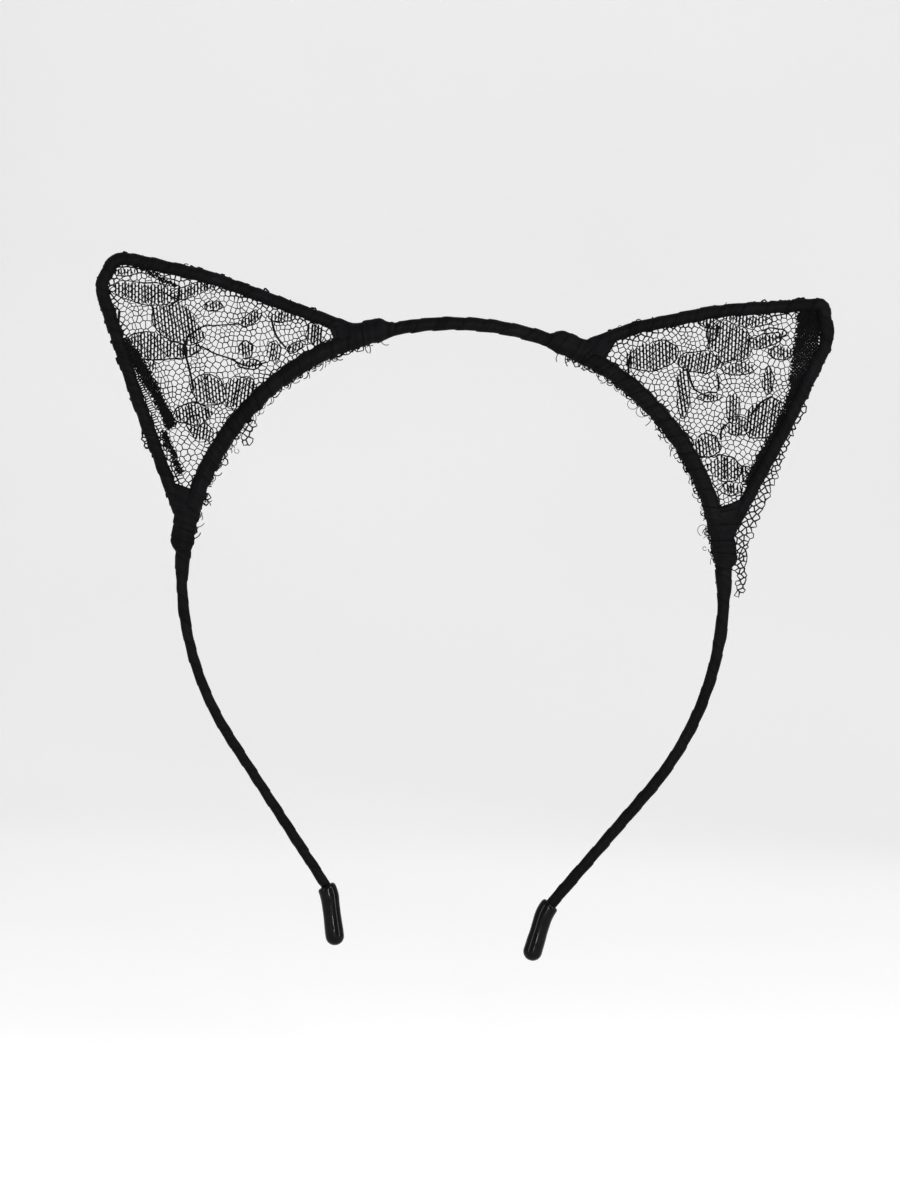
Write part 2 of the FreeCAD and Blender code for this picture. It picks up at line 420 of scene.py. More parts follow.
def drawEar(spec, band):
    inner, outer = spec["feet"]
    tail = wireSpec["tailLength"]
    innerTail = band.between(inner - tail, inner).shifted(tailShift)
    outerTail = band.between(outer, outer + tail).shifted(tailShift)
    first, firstHeading = innerTail.pose(innerTail.length)
    corner = band.pose(inner)[0]
    chord = band.pose(outer)[0] - corner
    along = chord.normalized()
    up = Vector((-along.z, 0, along.x))
    points = [first, first + ahead(firstHeading) * wireSpec["footRun"]]
    points += [corner + along * (share * chord.length) + up * (rise * spec["earHeight"])
               for share, rise, radius in spec["earCorners"]]
    points += [outerTail.start - ahead(outerTail.heading) * wireSpec["footRun"], outerTail.start]
    radii = [wireSpec["footBend"]] + [corner[2] for corner in spec["earCorners"]] + [wireSpec["footBend"]]
    stretches = innerTail.stretches + roundedStretches(points, radii) + outerTail.stretches
    ear = Line(innerTail.start, innerTail.heading, stretches)
    return ear, innerTail.length, ear.length - outerTail.length


class Side:
    # one side's lines, with the left side mirrored and both taken in the order of rising X
    def __init__(self, name):
        spec = sideSpecs[name]
        self.name = name
        self.sign = -1 if name == "left" else 1
        self.feet = spec["feet"]
        self.band = drawBand(spec)
        self.ear, self.earFirst, self.earLast = drawEar(spec, self.band)
        self.corner = self.band.pose(self.feet[0])[0]
        chord = self.band.pose(self.feet[1])[0] - self.corner
        self.chord = chord.length
        self.along = chord.normalized()
        self.up = Vector((-self.along.z, 0, self.along.x))
        self.legStart = self.feet[1] + wireSpec["tailLength"] + wireSpec["joinOverrun"] + wireSpec["legGap"]
        self.joinStart = self.feet[0] - wireSpec["tailLength"] - wireSpec["joinOverrun"]

    def flip(self, vector):
        return Vector((vector.x * self.sign, vector.y, vector.z))

    def local(self, along, up, depth=0.0):
        # a place on the ear, measured along and up from the line between its feet
        return self.flip(self.corner + self.along * along + self.up * up) + Vector((0, depth, 0))

    def onLine(self, line, station):
        point, way, out = line.at(station)
        if self.sign > 0:
            return point, way, out
        return self.flip(point), -self.flip(way), self.flip(out)


sides = {name: Side(name) for name in sideNames}


def bandAt(station):
    # the whole band from tip to tip: stations below 0 are on the left
    side = sides["left"] if station < 0 else sides["right"]
    return side.onLine(side.band, abs(station))


def finishPiece(bm, name, material):
    bmesh.ops.scale(bm, vec=(mm, mm, mm), verts=bm.verts)
    mesh = bpy.data.meshes.new(name)
    bm.to_mesh(mesh)
    bm.free()
    mesh.materials.append(material)
    mesh.shade_smooth()
    piece = bpy.data.objects.new(name, mesh)
    bpy.context.scene.collection.objects.link(piece)
    return piece


def thicken(piece, thickness):
    wall = piece.modifiers.new("thickness", "SOLIDIFY")
    wall.thickness = thickness * mm
    wall.offset = -1.0


def smoothStep(low, high, value):
    share = min(max((value - low) / (high - low), 0.0), 1.0)
    return share * share * (3 - 2 * share)


def ripple(seed, *spot):
    # a steady noise from -1 to 1
    values = list(spot) + [0.0, 0.0]
    return noise.noise(Vector((values[0] + seed * 17.3, values[1] - seed * 5.1, values[2] + seed * 3.7)))


ribbonSpec = {
    "stepsPerTurn": 22,
    "across": 10,
    "thickness": 0.14,
    "overlap": 0.34,
    "endSqueeze": 0.35,
    "endReach": 2.5,            # mm over which the turns close up at either end
    "lapEase": 0.2,
    "swell": 1.2,
}


def windRibbon(name, lineAt, first, last, sectionAt, pitch, seed, lift=0.16, crease=0.07, wander=0.1):
    # A flat ribbon wound round a wire: a grid whose long side follows the helix and whose short side
    # is its width. The edge laid last stands proud of the turn under it.
    width = pitch / (1 - ribbonSpec["overlap"])
    turns = (last - first + width) / pitch
    bm = bmesh.new()
    steps = int(turns * ribbonSpec["stepsPerTurn"])
    bmesh.ops.create_grid(bm, x_segments=steps, y_segments=ribbonSpec["across"], size=0.5)
    places = bm.loops.layers.uv.new("wound")
    middle = sectionAt((first + last) / 2)
    lap = 2 * math.pi * (middle[1] + middle[2]) / 2
    for face in bm.faces:
        for loop in face.loops:
            spot = loop.vert.co
            loop[places].uv = ((spot.x + 0.5) * turns * math.hypot(lap, pitch), (spot.y + 0.5) * width)
    for vert in bm.verts:
        turn = (vert.co.x + 0.5) * turns
        share = vert.co.y + 0.5
        station = first - width + turn * pitch + share * width
        station += wander * pitch * ripple(seed, turn * 0.9)
        squeeze, endReach = ribbonSpec["endSqueeze"], ribbonSpec["endReach"]
        if station < first:
            station = first - squeeze * (1 - math.exp((station - first) / endReach)) * 0.5
        if station > last:
            station = last + squeeze * (1 - math.exp((last - station) / endReach)) * 0.5
        angle = 2 * math.pi * turn
        shift, reach, depth = sectionAt(station)
        proud = lift * (1 - smoothStep(0.02, ribbonSpec["overlap"] + ribbonSpec["lapEase"], share))
        fold = crease * ripple(seed + 1, turn * 2.3, share * 5.0, math.sin(angle))
        swell = crease * ribbonSpec["swell"] * ripple(seed + 2, station * 0.35)
        extra = proud + fold + swell
        point, way, out = lineAt(station)
        vert.co = point + out * (shift + (reach + extra) * math.cos(angle))
        vert.co.y += (depth + extra) * math.sin(angle)
    piece = finishPiece(bm, name, satin)
    thicken(piece, ribbonSpec["thickness"])
    return piece


def roundSection(radius, thickness=0.1):
    def section(station):
        return 0.0, radius - thickness, radius - thickness
    return section


def joinSection(side, start, foot, fork, thin):
    # an oval that grows from the bare ribbon to both wires and flattens to a web in the fork
    base, proud = wireSpec["baseWrap"], joinSpec["proud"]
    earSteps = [side.ear.length * i / 600 for i in range(601)]
    earSteps = [step for step in earSteps if (step < side.ear.length / 2) == (fork > foot)]
    earPoints = [side.ear.pose(step)[0] for step in earSteps]

    def section(station):
        station = abs(station)
        past = (station - start) * (1 if fork > foot else -1)
        share = smoothStep(joinSpec["startEase"], joinSpec["rise"], past)
        point, way, out = side.band.at(station)
        nearest = min(earPoints, key=lambda spot: abs((spot - point).dot(way)))
        if abs((nearest - point).dot(way)) < joinSpec["footReach"]:
            full = (nearest - point).dot(out) + wireSpec["earWrap"] + proud
        else:
            full = tailShift + wireSpec["earWrap"] + proud
        reach = thin + (full - thin) * share
        inner = thin + (base + joinSpec["tuck"] - thin) * share
        gap = abs(station - foot) / abs(fork - foot) if (station - foot) * (fork - foot) > 0 else 0.0
        depth = inner - (base - joinSpec["webDepth"]) * smoothStep(joinSpec["webFrom"], 1.0, gap)
        return (reach - inner) / 2, (reach + inner) / 2, depth
    return section


windingSpecs = {
    "crown": {"pitch": 5.4, "seed": 3},
    "left": {"basePitch": 4.4, "legPitch": 5.6, "earPitch": 5.2, "joinPitch": 3.1, "seed": 11,
             "legOver": -0.05},
    "right": {"basePitch": 4.7, "legPitch": 5.9, "earPitch": 5.5, "joinPitch": 3.3, "seed": 37,
              "legOver": 0.1},
}
joinSpec = {
    "forkReach": {"inner": 7.5, "outer": 9.0},     # how far past its foot each join fills the fork
    "webDepth": 1.05,                               # its half thickness there
    "proud": 0.2,
    "rise": 4.0,                                    # mm in which it grows from the bare ribbon
    "startOver": 0.8,
    "startEase": -0.6,
    "footReach": 0.6,                               # how near the wire's points are looked for
    "tuck": 0.1,
    "webFrom": 0.3,
}


# how far each winding runs past its stretch of wire, and how much it stands over the bare size
runSpec = {
    "crownOver": 0.6,
    "crownProud": 0.15,
    "baseOver": 3.5,
    "legBefore": 1.2,
    "legInCap": 11.2,
    "legDouble": {"bulge": 0.62, "from": 1.0, "to": 10.0},          # the doubled start below the join
    "legKnot": {"bulge": 0.16, "at": 15.0, "reach": 3.0},
    "earIn": 1.5,
}


def windCrown():
    first = -sides["left"].joinStart - runSpec["crownOver"]
    last = sides["right"].joinStart + runSpec["crownOver"]
    spec = windingSpecs["crown"]
    section = roundSection(wireSpec["crownWrap"] + runSpec["crownProud"])
    piece = windRibbon("crownRibbon", bandAt, first, last, section, spec["pitch"], spec["seed"])
    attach(piece, "band")
    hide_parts("crown_ribbon")


def windBase(side):
    spec = windingSpecs[side.name]
    over = runSpec["baseOver"]
    ends = sorted(side.sign * (foot + step) for foot, step in zip(side.feet, (over, -over)))
    section = roundSection(wireSpec["baseWrap"])
    piece = windRibbon(side.name + "BaseRibbon", bandAt, ends[0], ends[1], section, spec["basePitch"],
                       spec["seed"], lift=0.2, crease=0.16, wander=0.2)
    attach(piece, "band")
    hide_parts(side.name + "_base_ribbon")


def windJoin(side, end):
    spec = windingSpecs[side.name]
    reach = joinSpec["forkReach"][end]
    if end == "inner":
        thin, start, foot = wireSpec["crownWrap"], side.joinStart, side.feet[0]
        fork = foot + reach
    else:
        thin, start, foot = wireSpec["legWrap"], side.legStart - wireSpec["legGap"], side.feet[1]
        fork = foot - reach
    start += joinSpec["startOver"] * (-1 if end == "inner" else 1)
    section = joinSection(side, start, foot, fork, thin)
    ends = sorted((side.sign * start, side.sign * fork))
    piece = windRibbon(side.name + end.capitalize() + "Join", bandAt, ends[0], ends[1], section,
                       spec["joinPitch"], spec["seed"] + 5 + len(end), lift=0.16, crease=0.16, wander=0.25)
    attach(piece, "band")
    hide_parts(f"{side.name}_{end}_join")


def windLeg(side):
    spec = windingSpecs[side.name]
    first, last = side.legStart - runSpec["legBefore"], side.band.length - runSpec["legInCap"]
    double, knot = runSpec["legDouble"], runSpec["legKnot"]
    ends = sorted((side.sign * first, side.sign * last))
    radius = wireSpec["legWrap"] + spec["legOver"]

    def section(station):
        past = abs(station)
        bulge = double["bulge"] * (1 - smoothStep(first + double["from"], first + double["to"], past))
        bulge += knot["bulge"] * math.exp(-((past - first - knot["at"]) / knot["reach"]) ** 2)
        return 0.0, radius + bulge, radius + bulge

    piece = windRibbon(side.name + "LegRibbon", bandAt, ends[0], ends[1], section, spec["legPitch"],
                       spec["seed"] + 21, lift=0.12, crease=0.07)
    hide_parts(side.name + "_leg_ribbon")
    bendWithLeg(piece, side)


def windEar(side):
    spec = windingSpecs[side.name]
    first, last = side.earFirst + runSpec["earIn"], side.earLast - runSpec["earIn"]
    if side.sign < 0:
        first, last = side.ear.length - last, side.ear.length - first

    def earAt(station):
        return side.onLine(side.ear, station if side.sign > 0 else side.ear.length - station)

    piece = windRibbon(side.name + "EarRibbon", earAt, first, last, roundSection(wireSpec["earWrap"]),
                       spec["earPitch"], spec["seed"] + 33, lift=0.16, crease=0.1)
    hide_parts(side.name + "_ear_ribbon")
    bendWithEar(piece, side)


earBendFrom, earBendTo = 7.5, 19.0      # mm above the line between the feet
legBendFrom, legBendTo = -1.0, 26.0     # mm down the leg from its pivot


def bendWithEar(piece, side):
    start = side.local(side.chord / 2, earBendFrom) * mm
    end = side.local(side.chord / 2, earBendTo) * mm
    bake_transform(piece)


def bendWithLeg(piece, side):
    point, way, out = side.onLine(side.band, side.legStart)
    start = point + Vector((0, 0, -legBendFrom))
    end = point + Vector((0, 0, -legBendTo))
    start * mm
    end * mm
    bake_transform(piece)


capSpec = {
    "length": 12.6,
    "radius": 2.27,
    "shoulder": 0.9,
    "overTip": 0.1,
    "bore": 1.22,
    "sides": 32,
    "rings": 34,
    "mouth": (3.0, 1.2),        # where the bore's rings lie behind the rim
    "lip": 0.45,
    "rimSteps": 8,
    "domeSteps": 10,
    "waver": 0.05,
    "waist": 0.12,
    "swollenEnd": 0.12,
}


def sweepRings(bm, rings, spokes, deep=Vector((0, 1, 0)), closed=False):
    # a circle carried from ring to ring, each (centre, way out, radius)
    tag = bm.verts.layers.int.get("spoke") or bm.verts.layers.int.new("spoke")
    made = bmesh.ops.create_circle(bm, segments=spokes, radius=1.0)["verts"]
    for number, vert in enumerate(made):
        vert[tag] = number
    edges = list({edge for vert in made for edge in vert.link_edges})
    if closed:
        bmesh.ops.contextual_create(bm, geom=edges)
    for number, (centre, out, radius) in enumerate(rings):
        if number:
            grown = bmesh.ops.extrude_edge_only(bm, edges=edges)["geom"]
            made = [item for item in grown if isinstance(item, bmesh.types.BMVert)]
            edges = [item for item in grown if isinstance(item, bmesh.types.BMEdge)]
        for vert in made:
            angle = 2 * math.pi * vert[tag] / spokes
            vert.co = centre + (out * math.cos(angle) + deep * math.sin(angle)) * radius
    if closed:
        bmesh.ops.contextual_create(bm, geom=edges)
    return edges


def drawWire(name, node, line, length, radius):
    # a drawn wire swept along a line of stations from 0 to its length
    count = math.ceil(length / wireSpec["wireStep"])
    rings = []
    for i in range(count + 1):
        point, way, out = line(length * i / count)
        rings.append((point, out, radius))
    bm = bmesh.new()
    sweepRings(bm, rings, wireSpec["wireSides"], closed=True)
    bmesh.ops.recalc_face_normals(bm, faces=bm.faces)
    piece = finishPiece(bm, name, steel)
    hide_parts(node)
    return piece


def layWires(side):
    def bandLine(station):
        return side.onLine(side.band, station)

    def earLine(station):
        return side.onLine(side.ear, station)

    half = drawWire(side.name + "BandWire", "band_wire", bandLine, side.band.length, wireSpec["bandRadius"])
    bendWithLeg(half, side)
    loop = drawWire(side.name + "EarWire", side.name + "_ear_wire", earLine, side.ear.length,
                    wireSpec["earRadius"])
    bendWithEar(loop, side)


def makeCap(side, number):
    # dipped vinyl: a rolled rim, a slightly uneven barrel and a rounded end
    spec = capSpec
    tip = side.band.length
    rim = tip - spec["length"]
    swell = spec["radius"] - spec["bore"]
    profile = [(rim + behind, spec["bore"]) for behind in spec["mouth"]]
    for i in range(spec["rimSteps"] + 1):
        angle = math.pi * i / spec["rimSteps"]
        lift = spec["shoulder"] if i > spec["rimSteps"] / 2 else spec["lip"]
        along = rim + lift * (1 - math.sin(angle))
        profile.append((along, spec["bore"] + swell * (1 - math.cos(angle)) / 2))
    barrel = tip + spec["overTip"] - rim
    for i in range(1, spec["rings"]):
        share = i / spec["rings"]
        uneven = spec["waver"] * ripple(51 + number, share * 5.0)
        uneven -= spec["waist"] * smoothStep(0.1, 0.4, share)
        uneven += spec["swollenEnd"] * smoothStep(0.5, 0.95, share)
        along = rim + spec["shoulder"] + (barrel - spec["shoulder"]) * share
        profile.append((along, spec["radius"] + uneven))
    last = profile[-1]
    for i in range(1, spec["domeSteps"]):
        angle = math.pi / 2 * i / spec["domeSteps"]
        profile.append((last[0] + last[1] * math.sin(angle), last[1] * math.cos(angle)))
    rings = []
    for station, radius in profile:
        point, way, out = side.onLine(side.band, station)
        rings.append((point, out, radius))
    bm = bmesh.new()
    edges = sweepRings(bm, rings, spec["sides"])
    bmesh.ops.pointmerge(bm, verts=list({vert for edge in edges for vert in edge.verts}),
                         merge_co=side.onLine(side.band, last[0] + last[1])[0])
    rimEdges = [edge for edge in bm.edges if edge.is_boundary]
    bmesh.ops.holes_fill(bm, edges=rimEdges)
    bmesh.ops.recalc_face_normals(bm, faces=bm.faces)
    piece = finishPiece(bm, side.name + "EndCap", vinyl)
    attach(piece, side.name + "_leg")
    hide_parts(side.name + "_end_cap")


laceSpec = {
    # how far apart the open cells are across and along, their thread, and the stagger of their rows
    "weave": {"leaf": (0.95, 1.35, 0.3, 0.5), "fold": (0.42, 0.8, 0.74, 0.3), "hem": (0.85, 1.7, 0.44, 0.3),
              "net": (1.12, 1.3, 0.27, 0.5)},
    "mostThread": 0.8,
    "jitter": 0.25,
    "drift": {"net": 1.8, "hem": 0.8, "leaf": 0.35, "fold": 0.35},
    "leafGrowth": 1.1,
    "cornerReach": 0.4,
    "hemTurn": -56,
    "outlineRadius": 0.17,
    "leafPitch": 0.78,
    "leafRadius": 0.22,
    "stemRadius": 0.17,
    "wave": 0.22,
    "underEar": 1.0,
    "underBase": 1.7,
    "frayDepth": 1.9,
    "frays": 170,
    "fullTurn": 6.28,
    "grain": {"left": -43, "right": -37},           # the long way of a leaf's open cells
    "grainSpread": 9,
    "loopSteps": {"ear": 90, "base": 50},
    "lobes": (1.06, 0.26),
    "leafBox": 0.66,
    "edgeThread": 0.2,
    "edgeReach": (1.6, 3.6),
    "slitPitch": (2.6, 0.55, 0.74),                 # down the slit, down its edge, and out to its edge
    "slitClear": 1.0,
    "sheetBox": ((-8, 80), (-12, 64)),
    "mostCell": 2.6,
    "mergeCorners": 0.09,
}

# Leaves are (along, up, turn in degrees, length, width) on the ear, a fold is (half width, points),
# a slit is a line of open cells, a scrap is lace outside the frame, and a curl is (along, up, radius)
laceMotifs = {
    "left": {
        "leaves": (
            (29.0, 45.7, 54, 14.5, 4.6), (28.8, 36.2, 92, 13.5, 7.0), (35.7, 34.3, 50, 15.5, 5.4),
            (35.4, 18.7, 77, 7.6, 6.2), (31.1, 13.1, -13, 7.8, 5.8), (42.3, 17.6, 47, 8.0, 4.6),
            (43.6, 13.8, 96, 6.5, 4.2), (22.4, 18.9, -43, 3.8, 3.0), (20.9, 38.1, 31, 9.0, 2.6),
            (8.3, 9.4, -43, 5.0, 3.6), (15.8, 23.1, 10, 4.6, 2.2), (20.0, 31.8, 47, 3.6, 2.2),
            (10.5, 18.2, 47, 5.2, 2.6), (18.1, 13.7, -43, 4.8, 2.6), (24.2, 15.9, 47, 4.8, 2.0),
            (41.5, 33.5, 20, 3.6, 3.0), (38.3, 46.8, -43, 6.0, 1.8), (29.0, 53.4, 47, 8.0, 2.0),
            (13.6, 10.6, 20, 4.0, 1.8),
        ),
        "folds": (
            (1.3, ((40.9, 40.8), (43.0, 32.4), (45.5, 25.2), (47.6, 20.0))),
            (0.5, ((25.0, 50.3), (22.8, 41.7))),
            (0.7, ((50.4, 19.6), (52.6, 14.6), (54.4, 10.4))),
        ),
        "slits": (((43.5, 38.6), (46.0, 32.7), (48.2, 27.3), (50.2, 23.1)),),
        "stems": (
            ((30.0, 31.1), (32.6, 29.2), (34.6, 26.1), (37.9, 21.3)),
            ((30.0, 31.1), (25.7, 30.4), (22.4, 27.6), (18.5, 23.9)),
            ((29.0, 27.3), (28.0, 23.6), (26.5, 20.4), (24.9, 16.0), (20.9, 13.1)),
            ((22.0, 41.0), (24.5, 39.0), (27.5, 39.5)),
            ((12.6, 19.6), (14.8, 16.0), (15.4, 12.0)),
        ),
        "scraps": (
            ((34.0, 7.2), (39.5, 4.4), (38.6, 2.6), (33.5, 5.6)),
            ((54.0, 3.0), (57.0, 1.6), (56.2, 0.2), (53.6, 1.6)),
            ((52.6, 24.0), (55.2, 21.4), (55.4, 19.8), (53.4, 20.6)),
        ),
        "curls": ((55.4, 2.4, 0.8), (28.6, 7.2, 0.7), (41.5, 3.9, 0.6)),
    },
    "right": {
        "leaves": (
            (12.7, 14.5, 63, 11.0, 6.2), (20.4, 22.4, 53, 9.0, 5.0), (20.9, 31.1, 53, 9.4, 8.6),
            (25.8, 37.6, 68, 8.4, 2.8), (30.5, 39.4, 53, 4.8, 2.8), (27.4, 29.2, 53, 7.4, 3.0),
            (23.9, 15.0, -37, 11.0, 2.6), (34.2, 32.7, -37, 5.4, 2.4), (28.9, 19.6, 53, 5.4, 1.8),
            (34.2, 22.3, -37, 6.2, 2.8), (40.7, 26.9, 98, 9.4, 7.2), (38.5, 20.8, 53, 5.2, 4.0),
            (37.6, 11.6, 53, 5.8, 4.6), (44.5, 12.0, 30, 7.4, 5.0), (48.7, 15.2, 53, 4.4, 3.0),
            (17.7, 34.7, 56, 14.0, 3.4), (25.7, 40.6, 53, 5.2, 2.2), (49.4, 10.2, 53, 5.0, 2.6),
            (33.0, 8.8, 10, 4.6, 1.8),
        ),
        "folds": (
            (2.9, ((28.6, 49.6), (34.6, 43.6), (38.6, 39.4))),
            (1.3, ((38.8, 38.0), (40.9, 34.8), (45.0, 27.8), (48.3, 20.6), (50.4, 15.2))),
        ),
        "slits": (),
        "stems": (
            ((9.3, 10.1), (10.8, 8.6), (13.7, 6.2)),
            ((25.3, 24.1), (26.9, 23.4), (28.6, 22.1)),
            ((36.1, 18.4), (37.0, 16.6), (38.6, 15.3)),
            ((37.6, 31.6), (37.2, 28.2), (38.3, 24.5)),
            ((20.6, 19.0), (25.0, 17.6), (28.9, 19.6)),
            ((14.6, 29.6), (17.0, 27.4), (18.6, 28.6), (16.4, 31.4)),
        ),
        "scraps": (
            ((37.0, 45.6), (38.8, 43.6), (44.3, 36.5), (46.4, 31.8), (50.5, 25.5), (53.3, 20.4), (57.2, 14.4),
             (59.8, 9.1), (61.6, 6.2), (66.1, 2.2), (69.1, -0.1), (71.4, -3.8), (70.8, -4.2), (66.6, -0.6),
             (64.6, -1.0), (61.5, 1.0), (56.0, 9.0), (50.0, 19.5), (43.0, 32.0), (36.0, 42.5)),
        ),
        "curls": ((21.6, 4.3, 1.5), (18.9, 3.6, 1.4), (53.3, -1.0, 1.4), (57.0, -3.4, 0.5),
                  (65.3, -6.0, 0.35)),
    },
}


def turned(x, y, degrees):
    angle = math.radians(degrees)
    return x * math.cos(angle) + y * math.sin(angle), y * math.cos(angle) - x * math.sin(angle)


def lineDistance(spot, points):
    # how far a place is from a run of straight pieces
    best = 1e9
    for a, b in zip(points, points[1:]):
        run = b - a
        share = min(max((spot - a).dot(run) / run.length_squared, 0.0), 1.0)
        best = min(best, (spot - a - run * share).length)
    return best


def insideLoop(spot, loop):
    inside = False
    for a, b in zip(loop, loop[1:] + loop[:1]):
        if (a.y > spot.y) != (b.y > spot.y) and spot.x < a.x + (b.x - a.x) * (spot.y - a.y) / (b.y - a.y):
            inside = not inside
    return inside


class LacePlan:
    # which weave is at each place of one ear's lace, in (along, up)
    def __init__(self, side):
        motifs = laceMotifs[side.name]
        self.side = side
        self.seed = windingSpecs[side.name]["seed"]
        self.grain = laceSpec["grain"][side.name]
        grown = laceSpec["leafGrowth"]
        self.leaves = [(*leaf[:3], leaf[3] * grown, leaf[4] * grown) for leaf in motifs["leaves"]]
        self.folds = [(half, [Vector(point) for point in points]) for half, points in motifs["folds"]]
        self.slits = [[Vector(point) for point in points] for points in motifs["slits"]]
        self.scraps = [[Vector(point) for point in points] for points in motifs["scraps"]]
        onEar, onBase = laceSpec["loopSteps"]["ear"], laceSpec["loopSteps"]["base"]
        earSteps = [side.earFirst + (side.earLast - side.earFirst) * i / onEar for i in range(onEar + 1)]
        baseSteps = [side.feet[0] + (side.feet[1] - side.feet[0]) * i / onBase for i in range(onBase + 1)]
        self.earEdge = [self.flat(side.ear.pose(station)[0]) for station in earSteps]
        self.baseEdge = [self.flat(side.band.pose(station)[0]) for station in baseSteps]
        self.loop = self.earEdge + self.baseEdge[::-1]

    def flat(self, point):
        offset = point - self.side.corner
        return Vector((offset.dot(self.side.along), offset.dot(self.side.up)))

    def area(self):
        pairs = zip(self.loop, self.loop[1:] + self.loop[:1])
        return abs(sum(a.x * b.y - b.x * a.y for a, b in pairs)) / 2

    def rim(self, number, angle):
        # a leaf's outline, uneven as in woven flowers
        length, width = self.leaves[number][3:]
        most, uneven = laceSpec["lobes"]
        lobes = most + uneven * ripple(self.seed + number, math.cos(angle) * 1.7, math.sin(angle) * 1.2)
        return length / 2 * lobes * math.cos(angle), width / 2 * lobes * math.sin(angle)

    def leafAt(self, spot):
        # the number of the leaf that covers a place, or None
        box = laceSpec["leafBox"]
        for number, (along, up, turn, length, width) in enumerate(self.leaves):
            x, y = turned(spot.x - along, spot.y - up, turn)
            if abs(x) < length * box and abs(y) < width * box:
                rim = self.rim(number, math.atan2(y / width, x / length))
                if math.hypot(x, y) / math.hypot(*rim) < 1:
                    return number
        return None

    def weaveAt(self, spot):
        for number, (half, points) in enumerate(self.folds):
            uneven = 1 + 0.25 * ripple(self.seed + 7, spot.x * 0.7, spot.y * 0.7)
            if lineDistance(spot, points) < half * uneven:
                return "fold", number
        leaf = self.leafAt(spot)
        if leaf is not None:
            return "leaf", leaf
        if self.scrapAt(spot) and not insideLoop(spot, self.loop):
            return "hem", 0
        return "net", 0

    def scrapAt(self, spot):
        return any(insideLoop(spot, scrap) for scrap in self.scraps)

    def threadAt(self, spot):
        kind = self.weaveAt(spot)[0]
        width = laceSpec["weave"][kind][2]
        if kind != "net":
            width *= 1 + 0.16 * ripple(self.seed + 3, spot.x, spot.y)
        else:
            width *= 1 + 0.35 * ripple(self.seed + 4, spot.x * 0.4, spot.y * 0.4)
            near = 1 - smoothStep(*laceSpec["edgeReach"], self.edgeDistance(spot))
            width += laceSpec["edgeThread"] * near
        return min(width / laceSpec["mostThread"], 1.0)

    def edgeDistance(self, spot):
        return min(lineDistance(spot, self.earEdge[::3]), lineDistance(spot, self.baseEdge[::3]))

    def holds(self, spot):
        # whether there is lace here: inside the frame, under its ribbon, or a loose scrap
        if insideLoop(spot, self.loop):
            return True
        rough = 0.35 * ripple(self.seed + 9, spot.x * 1.7, spot.y * 1.7)
        if self.scrapAt(spot):
            return True
        if lineDistance(spot, self.earEdge[::2]) < laceSpec["underEar"] + rough:
            return True
        fray = max(ripple(self.seed + 13, spot.x * 0.32), 0.0)
        fray += 0.6 * max(ripple(self.seed + 15, spot.x * 1.1), 0.0)
        reach = laceSpec["underBase"] + rough + fray * laceSpec["frayDepth"]
        return lineDistance(spot, self.baseEdge[::2]) < reach

    def gridSpots(self, kind, angle, centre, reach):
        # staggered rows round a centre, drifting a little as stretched lace does
        found = []
        across, along, _, stagger = laceSpec["weave"][kind]
        drift = laceSpec["drift"][kind]
        rows, columns = int(reach / across) + 1, int(reach / along) + 1
        for i in range(-rows, rows + 1):
            for j in range(-columns, columns + 1):
                spot = Vector(turned((j + stagger * (i % 2)) * along, i * across, -angle)) + centre
                shift = [ripple(self.seed + k, spot.x * 0.15, spot.y * 0.15) for k in (17, 19)]
                spot = spot + Vector(shift) * drift
                found.append(spot)
        return found

    def slitSpots(self):
        # long cells down each slit and a close row beside it
        spots = []
        pitch, edgePitch, beside = laceSpec["slitPitch"]
        for slit in self.slits:
            for a, b in zip(slit, slit[1:]):
                way = (b - a).normalized()
                count, edge = int((b - a).length / pitch), int((b - a).length / edgePitch)
                spots += [a + (b - a) * ((i + 0.5) / count) for i in range(count)]
                for turn in (-1, 1):
                    offset = Vector((-way.y, way.x)) * (beside * turn)
                    spots += [a + (b - a) * ((i + 0.5) / edge) + offset for i in range(edge)]
        return spots

    def cellCentres(self):
        draw = random.Random(self.seed)
        jobs = [("net", 0, self.grain + 20, Vector((34, 22)), 52)]
        for number, (along, up, turn, length, width) in enumerate(self.leaves):
            grain = self.grain + draw.uniform(-laceSpec["grainSpread"], laceSpec["grainSpread"])
            jobs.append(("leaf", number, grain, Vector((along, up)), length * 0.62))
        for number, (half, points) in enumerate(self.folds):
            middle = (points[0] + points[-1]) / 2
            jobs.append(("fold", number, self.grain, middle, (points[0] - middle).length + half + 1))
        jobs.append(("hem", 0, laceSpec["hemTurn"], Vector((50, 22)), 46))
        spots = self.slitSpots()
        (left, right), (low, high) = laceSpec["sheetBox"]
        for kind, number, angle, centre, reach in jobs:
            along = laceSpec["weave"][kind][1]
            jitter = laceSpec["jitter"] * {"net": 1.0, "hem": 0.5}.get(kind, 0.12)
            for spot in self.gridSpots(kind, angle, centre, reach):
                if not (left < spot.x < right and low < spot.y < high):
                    continue
                if self.weaveAt(spot) != (kind, number):
                    continue
                if any(lineDistance(spot, slit) < laceSpec["slitClear"] for slit in self.slits):
                    continue
                spots.append(spot + Vector((draw.uniform(-1, 1), draw.uniform(-1, 1))) * jitter * along)
        return spots


